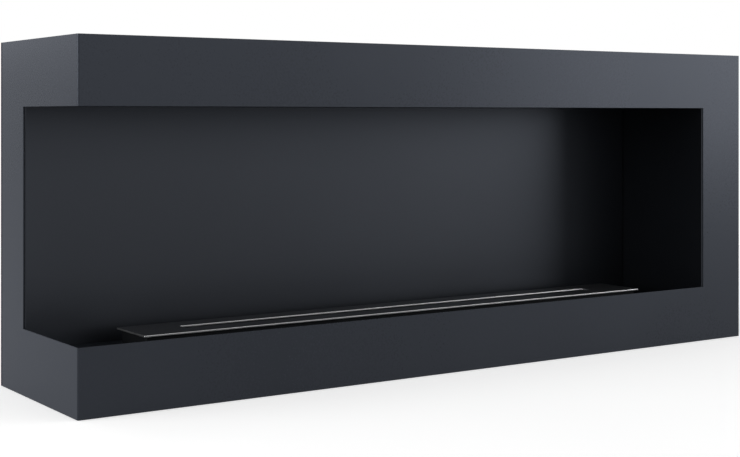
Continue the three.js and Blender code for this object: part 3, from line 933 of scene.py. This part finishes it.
def copy_piece(piece, name, step):
    """A copy with a mesh of its own, moved in its mesh."""
    take(piece)
    bpy.ops.object.duplicate(linked=False)
    copy = bpy.context.object
    copy.name = name
    copy.data.name = name
    bpy.ops.transform.translate(value=step)
    bpy.ops.object.transform_apply(location=True, rotation=True, scale=True)
    return copy


def roughen(piece, name, size, strength, cuts):
    """Divide the flat faces and let a cloud pattern press dents into them."""
    edit(piece)
    bpy.ops.mesh.select_all(action="SELECT")
    for axis, count in enumerate(cuts):
        low = min(vert.co[axis] for vert in bmesh.from_edit_mesh(piece.data).verts)
        high = max(vert.co[axis] for vert in bmesh.from_edit_mesh(piece.data).verts)
        for number in range(1, count):
            split_at(axis, low + (high - low) * number / count)
    done()
    pattern = bpy.data.textures.new(name, "CLOUDS")
    pattern.noise_scale = size
    pattern.noise_depth = 3
    apply_modifier(
        piece,
        "DISPLACE",
        texture=pattern,
        texture_coords="LOCAL",
        strength=strength,
        mid_level=1.0,
    )
    take(piece)
    bpy.ops.object.shade_smooth_by_angle(angle=MATTED_ANGLE)


def model_soft_block(name, node, corner):
    """A block of fibre with every edge rounded."""
    piece = add_block(name, *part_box(node))
    edit(piece)
    bpy.ops.mesh.select_all(action="SELECT")
    bpy.ops.mesh.bevel(offset=corner, segments=3)
    done()
    return piece


def model_board():
    piece = model_soft_block("insulation_slab", "rear_insulation_board", corner=0.0015)
    roughen(piece, "board_lumps", size=0.012, strength=0.0008, cuts=(110, 3, 34))
    return piece


def model_fibre(number):
    node = f"ceramic_fibre_block_{number}"
    piece = model_soft_block(f"fibre_fill_{number}", node, corner=0.003)
    roughen(piece, f"fibre_lumps_{number}", size=0.006, strength=0.0022, cuts=(90, 22, 14))
    return piece


# ---- Operators -----------------------------------------------------------------------------


class ShapeOperator:
    bl_options = {"REGISTER", "UNDO"}


class FIREPLACE_OT_fascia(ShapeOperator, bpy.types.Operator):
    """Fold the front and left frame from one sheet."""

    bl_idname = "fireplace.fascia"
    bl_label = "Front and Left Frame"

    def execute(self, context):
        casing = context.scene.fireplace_casing
        rear = context.scene.fireplace_rear
        piece = model_fascia(casing)
        cut_with(piece, shank_cutters(rear, CASING_HIGH.y - casing.sheet / 2))
        soften_edges(piece, casing.edge)
        hand_over(piece, "casing", "casing_powder_coat", finish("casing"), "front_fascia")
        return {"FINISHED"}


class FIREPLACE_OT_outer_panels(ShapeOperator, bpy.types.Operator):
    """Fold the top, bottom and right side sheets of the casing."""

    bl_idname = "fireplace.outer_panels"
    bl_label = "Top, Bottom and Right Side"

    def execute(self, context):
        casing = context.scene.fireplace_casing
        rear = context.scene.fireplace_rear
        trays = (("top_panel", "top_sheet", -1), ("bottom_panel", "bottom_sheet", 1))
        for node, name, open_side in trays:
            low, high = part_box(node)
            piece = model_tray(name, low, high, open_side, casing.fold, casing.sheet)
            cut_with(piece, shank_cutters(rear, high.y - casing.sheet / 2))
            soften_edges(piece, casing.edge)
            hand_over(piece, "casing", "casing_powder_coat", finish("casing"), node)
        piece = model_right_side(casing, rear)
        hand_over(piece, "casing", "casing_powder_coat", finish("casing"), "right_side_panel")
        return {"FINISHED"}


class FIREPLACE_OT_rear_panel(ShapeOperator, bpy.types.Operator):
    """Cut the rear panel with its vents, hanger windows and countersinks."""

    bl_idname = "fireplace.rear_panel"
    bl_label = "Rear Panel"

    def execute(self, context):
        piece = model_rear_panel(context.scene.fireplace_casing, context.scene.fireplace_rear)
        hand_over(piece, "casing", "casing_powder_coat", finish("casing"), "rear_panel")
        return {"FINISHED"}


class FIREPLACE_OT_screws(ShapeOperator, bpy.types.Operator):
    """Turn one countersunk screw and set the twelve round the rear panel."""

    bl_idname = "fireplace.screws"
    bl_label = "Rear Panel Screws"

    def execute(self, context):
        sites = screw_sites()
        first = model_screw(context.scene.fireplace_rear, sites[0])
        screws = [first]
        for site in sites[1:]:
            screws.append(copy_piece(first, "screw", site - sites[0]))
        for number, screw in enumerate(screws, 1):
            screw.name = f"socket_screw_{number:02d}"
            screw.data.name = screw.name
            node = f"rear_panel_screw_{number:02d}"
            hand_over(screw, "casing", "zinc_steel", finish("zinc"), node)
        return {"FINISHED"}


class FIREPLACE_OT_hangers(ShapeOperator, bpy.types.Operator):
    """Cut the two wall hangers with their keyholes."""

    bl_idname = "fireplace.hangers"
    bl_label = "Wall Hangers"

    def execute(self, context):
        left = model_hanger(context.scene.fireplace_rear)
        left.name = "keyhole_plate_left"
        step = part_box("hanger_plate_right")[0] - HANGER_LOW
        right = copy_piece(left, "keyhole_plate_right", step)
        hand_over(left, "casing", "zinc_steel", finish("zinc"), "hanger_plate_left")
        hand_over(right, "casing", "zinc_steel", finish("zinc"), "hanger_plate_right")
        return {"FINISHED"}


class FIREPLACE_OT_firebox(ShapeOperator, bpy.types.Operator):
    """Fold the firebox: rear wall, side wall, ceiling and hearth floor."""

    bl_idname = "fireplace.firebox"
    bl_label = "Firebox Lining"

    def execute(self, context):
        casing = context.scene.fireplace_casing
        sizes = context.scene.fireplace_lining
        ceiling = model_tray(
            "ceiling_sheet", CEILING_LOW, CEILING_HIGH, 1, sizes.fold, sizes.sheet
        )
        soften_edges(ceiling, casing.edge)
        made = {
            "firebox_back": model_back(casing, sizes),
            "firebox_right_wall": model_right_wall(casing, sizes),
            "firebox_ceiling": ceiling,
            "hearth_floor": model_hearth_floor(casing, sizes),
        }
        for node, piece in made.items():
            hand_over(piece, "casing", "lining_coat", finish("lining"), node)
        return {"FINISHED"}


class FIREPLACE_OT_insulation(ShapeOperator, bpy.types.Operator):
    """Press the insulation board behind the firebox."""

    bl_idname = "fireplace.insulation"
    bl_label = "Insulation Board"

    def execute(self, context):
        board = model_board()
        hand_over(board, "casing", "insulation_board", finish("board"), "rear_insulation_board")
        return {"FINISHED"}


class FIREPLACE_OT_burner(ShapeOperator, bpy.types.Operator):
    """Make the burner's tank, its lid with the flame slot and the shutter."""

    bl_idname = "fireplace.burner"
    bl_label = "Burner"

    def execute(self, context):
        sizes = context.scene.fireplace_burner
        tank = model_tank(sizes)
        hand_over(tank, "burner", "burner_coat", finish("tank"), "burner_tank")
        lid = model_lid(sizes)
        hand_over(lid, "burner", "burner_coat", finish("burner_plate"), "burner_top_plate")
        shutter = model_shutter(sizes)
        hand_over(shutter, "shutter", "stainless_steel", finish("stainless"), "burner_shutter")
        return {"FINISHED"}


class FIREPLACE_OT_fibre(ShapeOperator, bpy.types.Operator):
    """Fill the tank with three blocks of ceramic fibre."""

    bl_idname = "fireplace.fibre"
    bl_label = "Ceramic Fibre"

    def execute(self, context):
        for number in (1, 2, 3):
            node = f"ceramic_fibre_block_{number}"
            hand_over(model_fibre(number), "burner", "ceramic_fibre", finish("fibre"), node)
        return {"FINISHED"}


class FIREPLACE_OT_inner_parts(ShapeOperator, bpy.types.Operator):
    """Give the brackets, rails, guides and other inner parts their finishes."""

    bl_idname = "fireplace.inner_parts"
    bl_label = "Inner Parts"

    def execute(self, context):
        kinds = {"zinc_steel": "zinc", "stainless_steel": "stainless"}
        slots = {part["node"]: part["material_slot"] for part in frame["record"]["subparts"]}
        for name, node in frame["nodes"].items():
            if node.hide_render:
                continue
            kind = kinds[slots[name]]
            if name.startswith("shutter_guide") or name == "fibre_retainer":
                kind = "heated"
            node.data.materials.clear()
            node.data.materials.append(finish(kind))
        return {"FINISHED"}


class FIREPLACE_OT_stage(ShapeOperator, bpy.types.Operator):
    """Lay the floor, hang the lamps and set up the camera."""

    bl_idname = "fireplace.stage"
    bl_label = "Stage"

    def execute(self, context):
        settings = context.scene.fireplace_stage
        lay_floor(settings)
        light_room(settings)
        for name, setting, place, target, width, height in SOFTBOXES:
            add_softbox(name, getattr(settings, setting), place, target, width, height)
        set_camera()
        context.scene.view_settings.view_transform = "Standard"
        return {"FINISHED"}


def seen_directly(tree):
    """1 for rays from the camera, from a gloss or through glass, and 0 for the others."""
    path = tree.nodes.new("ShaderNodeLightPath")
    total = None
    for ray in ("Is Camera Ray", "Is Glossy Ray", "Is Transmission Ray"):
        if total is None:
            total = path.outputs[ray]
            continue
        add = tree.nodes.new("ShaderNodeMath")
        add.operation = "ADD"
        add.use_clamp = True
        tree.links.new(total, add.inputs[0])
        tree.links.new(path.outputs[ray], add.inputs[1])
        total = add.outputs["Value"]
    return total


def lay_floor(settings):
    """A white floor that keeps the casing's shadow and fades into the background."""
    gap, past_fade = 0.0005, 1.25
    bpy.ops.object.select_all(action="DESELECT")
    bpy.ops.mesh.primitive_circle_add(
        vertices=96, radius=settings.radius * past_fade, fill_type="NGON", location=(0, 0, -gap)
    )
    floor = name_piece("studio_floor")
    shader = Shader("floor_paint")
    place = shader.coordinates()
    cloud = shader.noise(place, scale=3.0, detail=2.0)
    shader.set(
        Base_Color=shader.shade(settings.floor, shader.spread(cloud, 0.99, 1.01)),
        Roughness=0.9,
        Specular_IOR_Level=0.1,
    )
    distance = shader.add("ShaderNodeVectorMath", operation="LENGTH")
    shader.link(shader.place.outputs["Object"], distance.inputs[0])
    fade = shader.range(distance.outputs["Value"], settings.clear, settings.radius, 0.0, 1.0)
    clear = shader.add("ShaderNodeBsdfTransparent")
    blend = shader.add("ShaderNodeMixShader")
    shader.link(fade, blend.inputs["Fac"])
    shader.link(shader.surface.outputs["BSDF"], blend.inputs[1])
    shader.link(clear.outputs["BSDF"], blend.inputs[2])
    glow = shader.add("ShaderNodeEmission")
    strength = shader.range(fade, 0.0, 1.0, settings.glow, 0.0)
    shader.link(
        shader.math("MULTIPLY", seen_directly(shader.tree), strength), glow.inputs["Strength"]
    )
    both = shader.add("ShaderNodeAddShader")
    shader.link(blend.outputs["Shader"], both.inputs[0])
    shader.link(glow.outputs["Emission"], both.inputs[1])
    shader.link(both.outputs["Shader"], shader.output.inputs["Surface"])
    floor.data.materials.append(shader.material)


def light_room(settings):
    world = bpy.data.worlds.new("studio")
    bpy.context.scene.world = world
    world.use_nodes = True
    tree = world.node_tree
    tree.nodes.clear()
    output = tree.nodes.new("ShaderNodeOutputWorld")
    plain = tree.nodes.new("ShaderNodeBackground")
    plain.inputs["Strength"].default_value = settings.room
    white = tree.nodes.new("ShaderNodeBackground")
    white.inputs["Color"].default_value = (1, 1, 1, 1)
    white.inputs["Strength"].default_value = 1.0
    choose = tree.nodes.new("ShaderNodeMixShader")
    tree.links.new(seen_directly(tree), choose.inputs["Fac"])
    tree.links.new(plain.outputs["Background"], choose.inputs[1])
    tree.links.new(white.outputs["Background"], choose.inputs[2])
    tree.links.new(choose.outputs["Shader"], output.inputs["Surface"])


def add_softbox(name, power, place, target, width, height):
    bpy.ops.object.select_all(action="DESELECT")
    aim = (Vector(target) - Vector(place)).to_track_quat("-Z", "Y").to_euler()
    bpy.ops.object.light_add(type="AREA", location=place, rotation=aim)
    lamp = bpy.context.object
    lamp.name = name
    lamp.data.name = name
    lamp.data.shape = "RECTANGLE"
    lamp.data.size = width
    lamp.data.size_y = height
    lamp.data.energy = power
    lamp.visible_camera = False


def set_camera():
    """The photograph's view: a level camera, lifted by its shift."""
    bpy.ops.object.select_all(action="DESELECT")
    bpy.ops.object.camera_add(location=CAMERA_PLACE, rotation=(math.pi / 2, 0.0, CAMERA_YAW))
    camera = bpy.context.object
    camera.name = "studio_camera"
    camera.data.sensor_width = 36.0
    camera.data.lens = CAMERA_LENS
    camera.data.shift_y = CAMERA_SHIFT
    camera.data.clip_start = 0.01
    bpy.context.scene.camera = camera


# ---- Panel and registration ----------------------------------------------------------------


class FIREPLACE_PT_panel(bpy.types.Panel):
    """Sizes, colours and steps of the fireplace."""

    bl_idname = "FIREPLACE_PT_panel"
    bl_label = "Fireplace"
    bl_space_type = "VIEW_3D"
    bl_region_type = "UI"
    bl_category = "Fireplace"

    def draw(self, context):
        layout = self.layout
        for step in OPERATORS:
            layout.operator(step.bl_idname)
        for name, group in GROUPS.items():
            box = layout.box()
            box.label(text=name.replace("_", " ").title())
            for key in group.__annotations__:
                box.prop(getattr(context.scene, name), key)


GROUPS = {
    "fireplace_casing": CasingSizes,
    "fireplace_rear": RearSizes,
    "fireplace_lining": LiningSizes,
    "fireplace_burner": BurnerSizes,
    "fireplace_finish": FinishColours,
    "fireplace_stage": StageSettings,
}

OPERATORS = (
    FIREPLACE_OT_fascia,
    FIREPLACE_OT_outer_panels,
    FIREPLACE_OT_rear_panel,
    FIREPLACE_OT_screws,
    FIREPLACE_OT_hangers,
    FIREPLACE_OT_firebox,
    FIREPLACE_OT_insulation,
    FIREPLACE_OT_burner,
    FIREPLACE_OT_fibre,
    FIREPLACE_OT_inner_parts,
    FIREPLACE_OT_stage,
)


def register():
    for group in GROUPS.values():
        bpy.utils.register_class(group)
    for name, group in GROUPS.items():
        setattr(bpy.types.Scene, name, PointerProperty(type=group))
    for operator in OPERATORS:
        bpy.utils.register_class(operator)
    bpy.utils.register_class(FIREPLACE_PT_panel)


def unregister():
    bpy.utils.unregister_class(FIREPLACE_PT_panel)
    for operator in reversed(OPERATORS):
        bpy.utils.unregister_class(operator)
    for name, group in GROUPS.items():
        delattr(bpy.types.Scene, name)
        bpy.utils.unregister_class(group)


def main():
    register()
    for operator in OPERATORS:
        step = operator.bl_idname.split(".")[1]
        getattr(bpy.ops.fireplace, step)()


if __name__ == "__main__":
    main()
